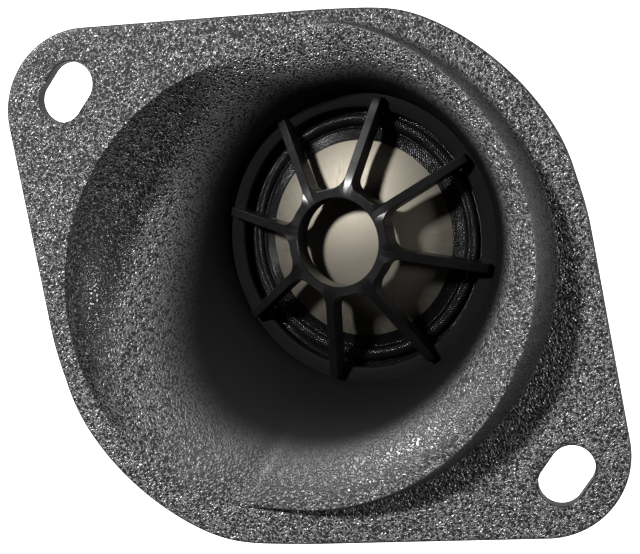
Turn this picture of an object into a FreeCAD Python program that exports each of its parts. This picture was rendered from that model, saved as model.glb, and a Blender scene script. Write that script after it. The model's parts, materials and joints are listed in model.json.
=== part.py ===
import FreeCAD, Part
import Sketcher
import math
import os

# Car tweeter: a tilted horn in an oval mounting flange, with a one inch dome driver behind it.
# Row frame: millimetres, origin on the back of the flange midway between the slots, +X along
# the line of the slots, +Z out of the front. The driver has its own tilted frame, whose origin
# is the centre of the dome's edge and whose Z runs forward along the driver axis.

doc = FreeCAD.newDocument("car_tweeter")
sheet = doc.addObject("Spreadsheet::Sheet", "Sizes")

SIZES = [
    # flange
    ("flange_thick", 2.2),
    ("flange_disc_radius", 35.56),
    ("flange_ear_radius", 10.76),
    ("flange_edge_one", 35.33),
    ("flange_edge_two", 33.97),
    ("flange_angle_one", 42.2),
    ("flange_angle_two", 40.4),
    ("slot_spacing", 80.0),
    ("slot_wide", 5.75),
    ("slot_long", 8.2),
    ("slot_turn", 3.4),
    # driver axis
    ("driver_side", 1.22),
    ("driver_up", 7.25),
    ("driver_deep", -4.8),
    ("driver_lean", 17.1),
    ("driver_lean_toward", 219.7),
    # collar round the mouth
    ("rim_side", -3.5),
    ("rim_up", -0.3),
    ("rim_level", 2.76),
    ("rim_radius", 31.1),
    ("rim_lean", 9.4),
    ("rim_lean_toward", 209.0),
    ("collar_reach", 9.0),
    ("collar_draft", 1.2),
    # spigot that drops into the panel
    ("spigot_side", -2.6),
    ("spigot_up", -1.0),
    ("spigot_radius", 32.5),
    ("spigot_deep", 2.6),
    # neck that holds the driver
    ("wall_thick", 2.0),
    ("neck_outer", 21.3),
    ("neck_bore", 19.2),
    ("neck_end", -11.6),
    ("throat_level", 0.93),
    ("boss_radius", 2.5),
    ("boss_circle", 22.6),
    ("boss_first", 99.7),
    ("pilot_radius", 0.9),
    ("boss_tall", 4.6),
    ("pilot_deep", 4.0),
    # grille
    ("ledge_inner", 16.87),
    ("ledge_outer", 19.1),
    ("ledge_thick", 1.5),
    ("hub_inner", 5.61),
    ("hub_outer", 6.85),
    ("hub_front", 7.47),
    ("hub_back", 4.8),
    ("fin_count", 8),
    ("fin_first", 27.0),
    ("fin_thick", 1.2),
    ("fin_end", 18.5),
    ("fin_end_top", 2.1),
    # moving parts
    ("dome_radius", 12.78),
    ("dome_rise", 3.9),
    ("dome_thick", 0.15),
    ("former_thick", 0.13),
    ("former_end", -6.2),
    ("coil_outer", 13.15),
    ("coil_front", -2.6),
    ("coil_back", -5.5),
    ("skin_thick", 0.25),
    ("skirt_outer", 14.6),
    ("skirt_drop", 0.5),
    ("ridge_circle", 14.3),
    ("ridge_radius", 0.2),
    ("roll_circle", 15.3),
    ("roll_radius", 0.85),
    ("roll_level", -0.65),
    ("skin_outer", 18.6),
    ("skin_level", -0.57),
    # motor
    ("carrier_inner", 16.25),
    ("carrier_back", -2.0),
    ("chassis_inner", 16.5),
    ("chassis_lip", 14.0),
    ("yoke_front", -2.6),
    ("yoke_back", -11.1),
    ("yoke_floor", 2.2),
    ("gap_outer", 13.45),
    ("plate_radius", 12.35),
    ("plate_front", -2.8),
    ("plate_thick", 2.2),
    ("magnet_radius", 11.4),
    ("felt_radius", 9.0),
    ("felt_thick", 0.8),
    # rear cover
    ("gasket_thick", 0.5),
    ("cover_rim_thick", 1.8),
    ("cover_outer", 18.8),
    ("cover_inner", 17.5),
    ("cover_floor", -18.3),
    ("cover_floor_thick", 1.4),
    ("screw_hole", 1.3),
    ("screw_head_radius", 2.0),
    ("screw_head_thick", 1.5),
    # terminals
    ("board_long", 26.0),
    ("board_wide", 13.0),
    ("board_thick", 1.0),
    ("tab_reach", 7.0),
    ("tab_spacing", 15.0),
    ("tab_positive_wide", 4.8),
    ("tab_negative_wide", 2.8),
    ("tab_thick", 0.8),
    ("tab_eye", 0.6),
    ("tab_eye_level", -24.2),
    ("rivet_radius", 0.8),
    ("rivet_head_radius", 1.3),
    ("capacitor_radius", 2.3),
    ("capacitor_long", 11.0),
    ("lead_radius", 0.25),
    ("wire_radius", 0.3),
    ("wire_circle", 17.0),
]

for row, (alias, number) in enumerate(SIZES, start=1):
    sheet.set("A%d" % row, alias)
    sheet.set("B%d" % row, str(number))
    sheet.setAlias("B%d" % row, alias)
doc.recompute()

ALIASES = sorted([name for name, _ in SIZES], key=len, reverse=True)
SIZE = dict(SIZES)
V = FreeCAD.Vector
# the two lead wires stand at these angles about the driver axis
WIRE_TURNS = (165.0, 15.0)
parts = []


def bound(text):
    """The same formula, with each size name pointing at its cell in the sheet."""
    words = []
    for word in text.replace("(", " ( ").replace(")", " ) ").split():
        words.append("Sizes." + word if word in SIZE else word)
    return " ".join(words)


def value(text):
    """The number a formula gives now."""
    if isinstance(text, (int, float)):
        return float(text)
    found = sheet.evalExpression(bound(text))
    return float(getattr(found, "Value", found))


def drive(thing, prop, text):
    """Sets a property from a formula on the sheet, or from a plain number."""
    if isinstance(text, str):
        thing.setExpression(prop, bound(text))
    else:
        setattr(thing, prop, text)


def leaning(x, y, z, lean, toward):
    """A placement whose Z leans by an angle towards a compass direction, without twisting."""
    across = V(0, 0, 1)
    turned = FreeCAD.Rotation(across, toward)
    tipped = FreeCAD.Rotation(V(0, 1, 0), lean)
    back = FreeCAD.Rotation(across, -toward)
    return FreeCAD.Placement(V(x, y, z), turned.multiply(tipped).multiply(back))


DRIVER = leaning(
    value("driver_side"),
    value("driver_up"),
    value("driver_deep"),
    value("driver_lean"),
    value("driver_lean_toward"),
)
UPRIGHT = FreeCAD.Placement()


def at(frame, x=0.0, y=0.0, z=0.0, turn=0.0):
    """A place in a frame: a shift, then a turn about the frame's own Z."""
    spin = FreeCAD.Rotation(V(0, 0, 1), turn)
    return frame.multiply(FreeCAD.Placement(V(x, y, z), spin))


def cylinder(name, radius, low, high, frame=DRIVER, x=0.0, y=0.0, turn=0.0):
    """A cylinder between two levels of a frame, standing at x, y after a turn about its Z."""
    made = doc.addObject("Part::Cylinder", name)
    drive(made, "Radius", radius)
    drive(made, "Height", "( %s ) - ( %s )" % (high, low))
    made.Placement = at(at(frame, turn=turn), x, y, value(low))
    return made


def box(name, long, wide, low, high, frame=DRIVER, x=0.0, y=0.0, turn=0.0):
    """A box between two levels of a frame, centred on x, y after a turn about its Z."""
    made = doc.addObject("Part::Box", name)
    drive(made, "Length", long)
    drive(made, "Width", wide)
    drive(made, "Height", "( %s ) - ( %s )" % (high, low))
    corner_x = x - value(long) / 2
    corner_y = y - value(wide) / 2
    made.Placement = at(at(frame, turn=turn), corner_x, corner_y, value(low))
    return made


def rod(name, radius, start, end, frame=DRIVER):
    """A round rod between two points of a frame."""
    run = V(*end) - V(*start)
    made = doc.addObject("Part::Cylinder", name)
    drive(made, "Radius", radius)
    made.Height = run.Length
    aim = FreeCAD.Rotation(V(0, 0, 1), run)
    made.Placement = frame.multiply(FreeCAD.Placement(V(*start), aim))
    return made


def ball(name, radius, centre, frame=DRIVER):
    """A ball in a frame."""
    made = doc.addObject("Part::Sphere", name)
    drive(made, "Radius", radius)
    made.Placement = frame.multiply(FreeCAD.Placement(V(*centre), FreeCAD.Rotation()))
    return made


def join(name, pieces):
    """One solid from several that meet."""
    made = doc.addObject("Part::MultiFuse", name)
    made.Shapes = pieces
    made.Refine = False
    return made


def group(name, pieces):
    """Separate solids that share one node."""
    made = doc.addObject("Part::Compound", name)
    made.Links = pieces
    return made


def cut(name, base, tools):
    """The base without the tools."""
    made = doc.addObject("Part::Cut", name)
    made.Base = base
    made.Tool = tools[0] if len(tools) == 1 else join(name + "_tools", tools)
    made.Refine = False
    return made


def keep(made, label):
    """Marks an object as a finished piece with its own name."""
    made.Label = label
    parts.append(made)
    return made


def turned(name, outline):
    """A body turned about the driver axis from corners given as (radius, level) formulas."""
    body = doc.addObject("PartDesign::Body", name + "_body")
    planes = [f for f in body.Origin.OriginFeatures if f.Role == "XZ_Plane"]
    sketch = body.newObject("Sketcher::SketchObject", name + "_sketch")
    sketch.AttachmentSupport = [(planes[0], "")]
    sketch.MapMode = "FlatFace"
    corners = [V(value(r), value(z), 0) for r, z in outline]
    count = len(corners)
    for k in range(count):
        edge = Part.LineSegment(corners[k], corners[(k + 1) % count])
        sketch.addGeometry(edge, False)
    for k in range(count):
        sketch.addConstraint(Sketcher.Constraint("Coincident", k, 2, (k + 1) % count, 1))
    for k, (r, z) in enumerate(outline):
        if value(r) == 0:
            sketch.addConstraint(Sketcher.Constraint("PointOnObject", k, 1, -2))
        else:
            index = sketch.addConstraint(
                Sketcher.Constraint("DistanceX", -1, 1, k, 1, value(r))
            )
            sketch.setExpression("Constraints[%d]" % index, bound(r))
        index = sketch.addConstraint(
            Sketcher.Constraint("DistanceY", -1, 1, k, 1, value(z))
        )
        if isinstance(z, str):
            sketch.setExpression("Constraints[%d]" % index, bound(z))
    whole = body.newObject("PartDesign::Revolution", name + "_turn")
    whole.Profile = sketch
    whole.ReferenceAxis = (sketch, ["V_Axis"])
    whole.Angle = 360.0
    sketch.Visibility = False
    body.Tip = whole
    body.Placement = DRIVER
    doc.recompute()
    return body


def circle(name, x, y, z, radius, lean, toward):
    """One round section of a loft."""
    made = doc.addObject("Part::Circle", name)
    drive(made, "Radius", radius)
    made.Placement = leaning(x, y, z, lean, toward)
    return made


def loft(name, sections, ruled=False):
    """A solid through round sections."""
    made = doc.addObject("Part::Loft", name)
    made.Sections = sections
    made.Solid = True
    made.Ruled = ruled
    return made


# ---------------------------------------------------------------- flange plate
def flange_plate():
    """The oval plate: a disc between four straight edges that meet in two rounded ears."""
    one = math.radians(value("flange_angle_one"))
    two = math.radians(value("flange_angle_two"))
    disc = value("flange_disc_radius")
    ear = value("flange_ear_radius")
    normals = [
        (V(math.sin(one), math.cos(one), 0), value("flange_edge_one")),
        (V(math.sin(two), -math.cos(two), 0), value("flange_edge_two")),
    ]
    body = doc.addObject("PartDesign::Body", "flange_body")
    planes = [f for f in body.Origin.OriginFeatures if f.Role == "XY_Plane"]
    sketch = body.newObject("Sketcher::SketchObject", "flange_sketch")
    sketch.AttachmentSupport = [(planes[0], "")]
    sketch.MapMode = "FlatFace"

    # where the right ear's centre is: inside both right-hand edges by the ear radius
    a, first = normals[0]
    b, second = normals[1]
    det = a.x * b.y - a.y * b.x
    reach_one = first - ear
    reach_two = second - ear
    ear_x = (reach_one * b.y - a.y * reach_two) / det
    ear_y = (a.x * reach_two - reach_one * b.x) / det

    def edge_points(normal, offset, side):
        """Ends of a straight edge: on the disc and on the ear, for side 1 or -1."""
        along = V(-normal.y, normal.x, 0)
        half = math.sqrt(disc * disc - offset * offset)
        foot = normal * offset
        centre = V(ear_x, ear_y, 0)
        touch = centre + normal * ear
        away = 1 if (touch - foot).dot(along) < 0 else -1
        return foot * side + along * half * away * side, touch * side

    disc_a, ear_a = edge_points(a, first, 1)
    disc_b, ear_b = edge_points(b, second, 1)
    disc_c, ear_c = edge_points(a, first, -1)
    disc_d, ear_d = edge_points(b, second, -1)
    middle = V(0, 0, 0)
    up = V(0, 0, 1)

    def arc(centre, radius, start, end):
        """An arc running anticlockwise from start to end."""
        low = math.atan2(start.y - centre.y, start.x - centre.x)
        high = math.atan2(end.y - centre.y, end.x - centre.x)
        if high < low:
            high += 2 * math.pi
        return Part.ArcOfCircle(Part.Circle(centre, up, radius), low, high)

    ear_right = V(ear_x, ear_y, 0)
    ear_left = V(-ear_x, -ear_y, 0)
    sketch.addGeometry(Part.LineSegment(ear_a, disc_a), False)
    sketch.addGeometry(arc(middle, disc, disc_a, disc_d), False)
    sketch.addGeometry(Part.LineSegment(disc_d, ear_d), False)
    sketch.addGeometry(arc(ear_left, ear, ear_d, ear_c), False)
    sketch.addGeometry(Part.LineSegment(ear_c, disc_c), False)
    sketch.addGeometry(arc(middle, disc, disc_c, disc_b), False)
    sketch.addGeometry(Part.LineSegment(disc_b, ear_b), False)
    sketch.addGeometry(arc(ear_right, ear, ear_b, ear_a), False)
    for k in (0, 1, 4, 5):
        sketch.addConstraint(Sketcher.Constraint("Coincident", k, 2, k + 1, 1))
    for k, after in ((2, 3), (3, 4), (6, 7), (7, 0)):
        sketch.addConstraint(Sketcher.Constraint("Tangent", k, 2, after, 1))
    for k in (1, 5):
        sketch.addConstraint(Sketcher.Constraint("Coincident", k, 3, -1, 1))
        index = sketch.addConstraint(Sketcher.Constraint("Radius", k, disc))
        sketch.setExpression("Constraints[%d]" % index, bound("flange_disc_radius"))
    for k in (3, 7):
        index = sketch.addConstraint(Sketcher.Constraint("Radius", k, ear))
        sketch.setExpression("Constraints[%d]" % index, bound("flange_ear_radius"))
    for k, offset, alias in (
        (0, first, "flange_edge_one"),
        (4, first, "flange_edge_one"),
        (2, second, "flange_edge_two"),
        (6, second, "flange_edge_two"),
    ):
        index = sketch.addConstraint(Sketcher.Constraint("Distance", -1, 1, k, offset))
        sketch.setExpression("Constraints[%d]" % index, bound(alias))
    for k in (0, 2, 4, 6):
        line = sketch.Geometry[k]
        run = line.EndPoint - line.StartPoint
        angle = math.atan2(run.y, run.x)
        sketch.addConstraint(Sketcher.Constraint("Angle", k, angle))
    pad = body.newObject("PartDesign::Pad", "flange_pad")
    pad.Profile = sketch
    pad.setExpression("Length", bound("flange_thick"))
    sketch.Visibility = False
    body.Tip = pad
    doc.recompute()
    return body


# Horn surface, as round sections from the throat to the mouth: along and across the plane the
# driver leans in, level above the flange front, radius, lean and the direction of the lean.
HORN = [
    (4.65, 4.40, -4.40, 19.99, 15.7, 219.7),
    (2.65, 3.60, -2.80, 22.44, 13.1, 219.7),
    (0.55, 2.70, -1.60, 24.95, 11.5, 219.0),
    (-1.55, 1.90, -0.45, 27.40, 10.1, 216.0),
    (-2.90, 1.20, 0.95, 29.30, 8.2, 213.0),
    (-3.30, 1.00, 2.87, 30.10, 5.6, 211.0),
    (-3.30, 1.00, 6.60, 30.90, 5.6, 211.0),
]


def horn_sections(prefix, extra, sink):
    """The horn's sections, made larger and sunk for the outer wall."""
    way = math.radians(value("driver_lean_toward") - 180.0)
    made = []
    for k, (along, across, level, radius, lean, toward) in enumerate(HORN):
        x = along * math.cos(way) - across * math.sin(way)
        y = along * math.sin(way) + across * math.cos(way)
        z = level + value("flange_thick") - sink
        formula = "%s + %s" % (radius, extra) if extra else radius
        made.append(circle("%s_%d" % (prefix, k), x, y, z, formula, lean, toward))
    return made


def front_baffle():
    """Flange, collar, horn and neck, moulded as one piece."""
    plate = flange_plate()
    spot = V(value("rim_side"), value("rim_up"), value("rim_level"))
    tower = doc.addObject("Part::Cone", "collar_tower")
    drive(tower, "Radius1", "rim_radius + collar_draft")
    drive(tower, "Radius2", "rim_radius - collar_draft")
    drive(tower, "Height", "collar_reach * 2")
    foot = spot - DRIVER.Rotation.multVec(V(0, 0, value("collar_reach")))
    tower.Placement = FreeCAD.Placement(foot, DRIVER.Rotation)
    over = leaning(spot.x, spot.y, spot.z, value("rim_lean"), value("rim_lean_toward"))
    spare = [
        box("collar_over", 160.0, 160.0, "0", "40", over),
        box("collar_under", 160.0, 160.0, "-40", "0.6", UPRIGHT),
    ]
    collar = cut("collar", tower, spare)

    throat = at(DRIVER, z=value("throat_level"))
    start = doc.addObject("Part::Circle", "horn_throat")
    drive(start, "Radius", "ledge_outer - 0.3")
    start.Placement = throat
    cavity = loft("horn_cavity", [start] + horn_sections("horn", None, 0.0))

    back = doc.addObject("Part::Circle", "shell_throat")
    drive(back, "Radius", "neck_outer - 0.8")
    back.Placement = at(DRIVER, z=-3.5)
    shell = loft("shell_loft", [back] + horn_sections("shell", "wall_thick", 1.5))
    middle = {"x": value("spigot_side"), "y": value("spigot_up")}
    below = cylinder("shell_space", "spigot_radius - 0.2", "-40", "1.2", UPRIGHT, **middle)
    spigot = cylinder("spigot", "spigot_radius", "0 - spigot_deep", "1.0", UPRIGHT, **middle)
    outside = doc.addObject("Part::Common", "shell")
    outside.Base = shell
    outside.Tool = below
    neck = cylinder("neck", "neck_outer", "neck_end", "0")
    bosses = []
    pilots = []
    for k in range(3):
        turn = value("boss_first") + 120 * k
        radial = value("boss_circle")
        bosses.append(
            cylinder(
                "boss_%d" % k,
                "boss_radius",
                "neck_end",
                "neck_end + boss_tall",
                x=radial,
                turn=turn,
            )
        )
        pilots.append(
            cylinder(
                "pilot_%d" % k,
                "pilot_radius",
                "neck_end",
                "neck_end + pilot_deep",
                x=radial,
                turn=turn,
            )
        )
    whole = join("baffle_solid", [plate, collar, spigot, outside, neck] + bosses)
    bore = cylinder("neck_bore_tool", "neck_bore", "neck_end - 1", "throat_level")
    slots = []
    for k, side in enumerate((-1, 1)):
        centre = side * value("slot_spacing") / 2
        frame = at(UPRIGHT, centre, 0.0, 0.0, value("slot_turn"))
        run = (value("slot_long") - value("slot_wide")) / 2
        slots.append(
            box("slot_mid_%d" % k, "slot_wide", "slot_long - slot_wide", "-1", "5", frame)
        )
        for j, end in enumerate((-run, run)):
            slots.append(
                cylinder(
                    "slot_end_%d_%d" % (k, j), "slot_wide / 2", "-1", "5", frame, y=end
                )
            )
    made = cut("baffle", whole, [cavity, bore] + slots + pilots)
    return keep(made, "front_baffle")


def phase_grille():
    """Ledge ring, eight fins and the hub, moulded as one piece."""
    base = turned(
        "ledge",
        [
            ("ledge_inner", "throat_level - ledge_thick"),
            ("ledge_outer", "throat_level - ledge_thick"),
            ("ledge_outer", "throat_level"),
            ("ledge_inner", "throat_level"),
        ],
    )
    hub = turned(
        "hub",
        [
            ("hub_inner", "hub_back"),
            ("hub_outer", "hub_back"),
            ("hub_outer", "hub_front"),
            ("hub_inner", "hub_front"),
        ],
    )
    fins = []
    for k in range(int(value("fin_count"))):
        body = doc.addObject("PartDesign::Body", "fin_%d_body" % k)
        planes = [f for f in body.Origin.OriginFeatures if f.Role == "XZ_Plane"]
        sketch = body.newObject("Sketcher::SketchObject", "fin_%d_sketch" % k)
        sketch.AttachmentSupport = [(planes[0], "")]
        sketch.MapMode = "FlatFace"
        outline = [
            ("hub_inner + 0.5", "hub_back"),
            ("hub_outer + 0.8", "hub_back - 0.1"),
            ("ledge_inner - 0.1", "throat_level - 0.1"),
            ("ledge_inner + 0.2", "throat_level - 0.4"),
            ("fin_end", "throat_level - 0.4"),
            ("fin_end", "fin_end_top"),
            ("hub_outer + 0.4", "hub_front"),
            ("hub_inner + 0.5", "hub_front"),
        ]
        corners = [V(value(r), value(z), 0) for r, z in outline]
        count = len(corners)
        for j in range(count):
            sketch.addGeometry(Part.LineSegment(corners[j], corners[(j + 1) % count]), False)
        for j in range(count):
            sketch.addConstraint(Sketcher.Constraint("Coincident", j, 2, (j + 1) % count, 1))
        for j, (r, z) in enumerate(outline):
            for way, text in (("DistanceX", r), ("DistanceY", z)):
                index = sketch.addConstraint(
                    Sketcher.Constraint(way, -1, 1, j, 1, value(text))
                )
                sketch.setExpression("Constraints[%d]" % index, bound(text))
        pad = body.newObject("PartDesign::Pad", "fin_%d_pad" % k)
        pad.Profile = sketch
        pad.Midplane = True
        pad.setExpression("Length", bound("fin_thick"))
        sketch.Visibility = False
        body.Tip = pad
        body.Placement = at(DRIVER, turn=value("fin_first") + 360.0 / value("fin_count") * k)
        fins.append(body)
    doc.recompute()
    return keep(join("grille", [base, hub] + fins), "phase_grille")


def dome():
    """A thin spherical cap."""
    rise = "dome_rise"
    ball_radius = "( dome_radius * dome_radius + %s * %s ) / ( 2 * %s )" % (rise, rise, rise)
    radius = value(ball_radius)
    outer = doc.addObject("Part::Sphere", "dome_outer")
    drive(outer, "Radius", ball_radius)
    outer.Angle1 = math.degrees(math.asin((radius - value(rise)) / radius))
    outer.Angle2 = 90
    outer.Placement = at(DRIVER, z=value(rise) - radius)
    inner = doc.addObject("Part::Sphere", "dome_inner")
    drive(inner, "Radius", ball_radius + " - dome_thick")
    inner.Placement = at(DRIVER, z=value(rise) - radius)
    return keep(cut("dome", outer, [inner]), "dome_diaphragm")


def surround():
    """Skirt on the dome's edge, a stiffening ridge, the half roll and the clamped rim."""
    skirt = turned(
        "skirt",
        [
            ("dome_radius", "0 - skin_thick"),
            ("skirt_outer", "0 - skirt_drop - skin_thick"),
            ("skirt_outer", "0 - skirt_drop"),
            ("dome_radius", "0.05"),
        ],
    )
    ridge = doc.addObject("Part::Torus", "ridge")
    drive(ridge, "Radius1", "ridge_circle")
    drive(ridge, "Radius2", "ridge_radius")
    ridge.Placement = at(DRIVER, z=-value("skirt_drop") - 0.02)
    outer = doc.addObject("Part::Torus", "roll_outer")
    drive(outer, "Radius1", "roll_circle")
    drive(outer, "Radius2", "roll_radius")
    outer.Placement = at(DRIVER, z=value("roll_level"))
    inner = doc.addObject("Part::Torus", "roll_inner")
    drive(inner, "Radius1", "roll_circle")
    drive(inner, "Radius2", "roll_radius - skin_thick")
    inner.Placement = at(DRIVER, z=value("roll_level"))
    under = cylinder("roll_under", "skin_outer", "roll_level - 2", "roll_level")
    roll = cut("roll", outer, [inner, under])
    rim = turned(
        "skin_rim",
        [
            ("roll_circle + roll_radius - skin_thick", "skin_level - skin_thick"),
            ("skin_outer", "skin_level - skin_thick"),
            ("skin_outer", "skin_level"),
            ("roll_circle + roll_radius - skin_thick", "skin_level"),
        ],
    )
    return keep(join("surround_solid", [skirt, ridge, roll, rim]), "surround")


def ring(label, inner, outer, low, high):
    """A plain ring or disc about the driver axis."""
    corners = [(inner, low), (outer, low), (outer, high), (inner, high)]
    return keep(turned(label, corners), label)


def moving_parts():
    """Dome, surround, former and winding."""
    dome()
    surround()
    ring("voice_coil_former", "dome_radius - former_thick", "dome_radius", "former_end", "0")
    ring("voice_coil_winding", "dome_radius", "coil_outer", "coil_back", "coil_front")


def motor():
    """Carrier, chassis, pole plate, magnet, yoke and felt."""
    carrier = turned(
        "carrier",
        [
            ("carrier_inner", "carrier_back"),
            ("ledge_outer", "carrier_back"),
            ("ledge_outer", "throat_level - ledge_thick"),
            ("skin_outer", "throat_level - ledge_thick"),
            ("skin_outer", "skin_level - skin_thick"),
            ("carrier_inner", "skin_level - skin_thick"),
        ],
    )
    notches = []
    for k, turn in enumerate(WIRE_TURNS):
        place = {"x": value("wire_circle"), "turn": turn}
        notches.append(box("carrier_notch_%d" % k, 3.0, 1.0, "carrier_back - 1", "-1.2", **place))
    keep(cut("carrier_ring", carrier, notches), "diaphragm_ring")
    chassis = turned(
        "chassis",
        [
            ("chassis_lip", "neck_end"),
            ("ledge_outer", "neck_end"),
            ("ledge_outer", "carrier_back"),
            ("chassis_inner", "carrier_back"),
            ("chassis_inner", "yoke_back"),
            ("chassis_lip", "yoke_back"),
        ],
    )
    grooves = []
    for k, turn in enumerate(WIRE_TURNS):
        place = {"x": value("wire_circle"), "turn": turn}
        grooves.append(box("chassis_groove_%d" % k, 1.1, 1.0, "neck_end - 1", "0", **place))
    keep(cut("chassis_ring", chassis, grooves), "driver_chassis")
    keep(
        turned(
            "yoke",
            [
                (0, "yoke_back"),
                ("chassis_inner", "yoke_back"),
                ("chassis_inner", "yoke_front"),
                ("gap_outer", "yoke_front"),
                ("gap_outer", "yoke_back + yoke_floor"),
                (0, "yoke_back + yoke_floor"),
            ],
        ),
        "yoke_cup",
    )
    ring("neodymium_magnet", 0, "magnet_radius", "yoke_back + yoke_floor", "plate_front - plate_thick")
    ring("pole_plate", 0, "plate_radius", "plate_front - plate_thick", "plate_front")
    ring("pole_felt", 0, "felt_radius", "plate_front", "plate_front + felt_thick")


def lead_wires():
    """Flexible leads from the coil former, through the carrier and down to the board."""
    for label, turn, end_x in (
        ("lead_wire_positive", WIRE_TURNS[0], -11.3),
        ("lead_wire_negative", WIRE_TURNS[1], 11.3),
    ):
        frame = at(DRIVER, turn=turn)
        back = frame.inverse().multiply(DRIVER)
        board = value("cover_floor") + value("board_thick")
        landing = back.multVec(V(end_x, 3.6, board))
        bend = back.multVec(V(end_x, 3.6, board + 1.6))
        radius = value("wire_radius")
        path = [
            (value("dome_radius") + radius, 0, -1.0),
            (value("dome_radius") + radius, 0, -1.5),
            (value("wire_circle"), 0, -1.5),
            (value("wire_circle"), 0, value("neck_end") - 1.2),
            (bend.x, bend.y, bend.z),
            (landing.x, landing.y, landing.z),
        ]
        pieces = []
        for k in range(len(path) - 1):
            pieces.append(rod("%s_run_%d" % (label, k), "wire_radius", path[k], path[k + 1], frame))
        for k in range(1, len(path) - 1):
            pieces.append(ball("%s_bend_%d" % (label, k), "wire_radius", path[k], frame))
        keep(join(label + "_solid", pieces), label)


def rear_cover():
    """Gasket, cup-shaped cover and its three screws."""
    gasket_back = "neck_end - gasket_thick"
    rim_back = "neck_end - gasket_thick - cover_rim_thick"
    gasket = turned(
        "gasket",
        [
            ("neck_bore + 0.2", gasket_back),
            ("neck_outer", gasket_back),
            ("neck_outer", "neck_end"),
            ("neck_bore + 0.2", "neck_end"),
        ],
    )
    seals = [gasket]
    holes = []
    lugs = []
    clear = []
    screws = []
    for k in range(3):
        turn = value("boss_first") + 120 * k
        radial = value("boss_circle")
        place = {"x": radial, "turn": turn}
        seals.append(cylinder("gasket_lug_%d" % k, "boss_radius", gasket_back, "neck_end", **place))
        holes.append(cylinder("gasket_hole_%d" % k, "screw_hole", gasket_back, "neck_end", **place))
        lugs.append(cylinder("cover_lug_%d" % k, "boss_radius", rim_back, gasket_back, **place))
        clear.append(cylinder("cover_hole_%d" % k, "screw_hole", rim_back, gasket_back, **place))
        tip = "neck_end + pilot_deep - 0.4"
        crown = rim_back + " - screw_head_thick"
        floor = rim_back + " - 0.8"
        shank = cylinder("screw_shank_%d" % k, "pilot_radius", rim_back, tip, **place)
        head = cylinder("screw_head_%d" % k, "screw_head_radius", crown, rim_back, **place)
        screw = join("screw_solid_%d" % k, [shank, head])
        drive_slots = [
            box("screw_slot_%d" % k, 2.2, 0.5, crown, floor, **place),
            box("screw_cross_%d" % k, 0.5, 2.2, crown, floor, **place),
        ]
        screws.append(cut("screw_%d" % k, screw, drive_slots))
    keep(cut("gasket_ring", join("gasket_solid", seals), holes), "rear_cover_gasket")
    cup = turned(
        "cover_cup",
        [
            (0, "cover_floor - cover_floor_thick"),
            ("cover_outer - 1", "cover_floor - cover_floor_thick"),
            ("cover_outer", "cover_floor - cover_floor_thick + 1"),
            ("cover_outer", rim_back),
            ("neck_outer", rim_back),
            ("neck_outer", gasket_back),
            ("cover_inner", gasket_back),
            ("cover_inner", "cover_floor"),
            (0, "cover_floor"),
        ],
    )
    for k, (x, wide) in enumerate(
        ((-0.5, "tab_positive_wide"), (0.5, "tab_negative_wide"))
    ):
        centre = x * value("tab_spacing")
        clear.append(
            box(
                "cover_slot_%d" % k,
                wide,
                "tab_thick",
                "cover_floor - cover_floor_thick",
                "cover_floor",
                x=centre,
                y=-3.0,
            )
        )
    keep(cut("cover", join("cover_solid", [cup] + lugs), clear), "rear_cover")
    keep(group("screws", screws), "rear_cover_screws")


def terminals():
    """Board on the cover floor, two blade tabs with rivets, and the filter capacitor."""
    top = "cover_floor + board_thick"
    board = box("board_blank", "board_long", "board_wide", "cover_floor", top)
    openings = []
    rivets = []
    for k, (side, wide, label) in enumerate(
        (
            (-0.5, "tab_positive_wide", "terminal_tab_positive"),
            (0.5, "tab_negative_wide", "terminal_tab_negative"),
        )
    ):
        centre = side * value("tab_spacing")
        openings.append(box("board_slot_%d" % k, wide, "tab_thick", "cover_floor", top, x=centre, y=-3.0))
        openings.append(cylinder("board_hole_%d" % k, "rivet_radius", "cover_floor", top, x=centre, y=0.4))
        blade = box(
            label + "_blade",
            wide,
            "tab_thick",
            "cover_floor - cover_floor_thick - tab_reach",
            top,
            x=centre,
            y=-3.0,
        )
        foot = box(label + "_foot", wide, 5.2, top, top + " + tab_thick", x=centre, y=-0.8)
        hole = cylinder(
            label + "_hole", "rivet_radius", top, top + " + tab_thick", x=centre, y=0.4
        )
        eye_level = value("tab_eye_level")
        eye = rod(label + "_eye", "tab_eye", (centre, -4.0, eye_level), (centre, -2.0, eye_level))
        keep(cut(label + "_solid", join(label + "_blank", [blade, foot]), [hole, eye]), label)
        seat = top + " + tab_thick"
        place = {"x": centre, "y": 0.4}
        shank = cylinder("rivet_shank_%d" % k, "rivet_radius", "cover_floor", seat, **place)
        head = cylinder("rivet_head_%d" % k, "rivet_head_radius", seat, seat + " + 0.5", **place)
        rivets.append(join("rivet_%d" % k, [shank, head]))
    keep(cut("board", board, openings), "terminal_board")
    keep(group("rivets", rivets), "terminal_rivets")

    level = value(top) + value("capacitor_radius")
    half = value("capacitor_long") / 2
    place = 4.0
    keep(
        rod("capacitor_can", "capacitor_radius", (-half, place, level), (half, place, level)),
        "filter_capacitor",
    )
    leads = []
    for side in (-1, 1):
        out = side * (half + 2.0)
        corner = (out, place, level)
        leads.append(rod("cap_lead_a%d" % side, "lead_radius", (side * half, place, level), corner))
        leads.append(ball("cap_lead_b%d" % side, "lead_radius", corner))
        leads.append(rod("cap_lead_c%d" % side, "lead_radius", corner, (out, place, value(top))))
    keep(
        group("cap_leads", [join("cap_lead_left", leads[:3]), join("cap_lead_right", leads[3:])]),
        "capacitor_leads",
    )


front_baffle()
phase_grille()
moving_parts()
motor()
lead_wires()
rear_cover()
terminals()
doc.recompute()

for thing in doc.Objects:
    if "Invalid" in thing.State or "Error" in thing.State:
        raise RuntimeError("%s did not build" % thing.Name)
for part in parts:
    if part.Shape.isNull() or not part.Shape.isValid():
        raise RuntimeError("%s has no valid shape" % part.Label)
    if not part.Shape.Solids:
        raise RuntimeError("%s has no solid" % part.Label)

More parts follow.
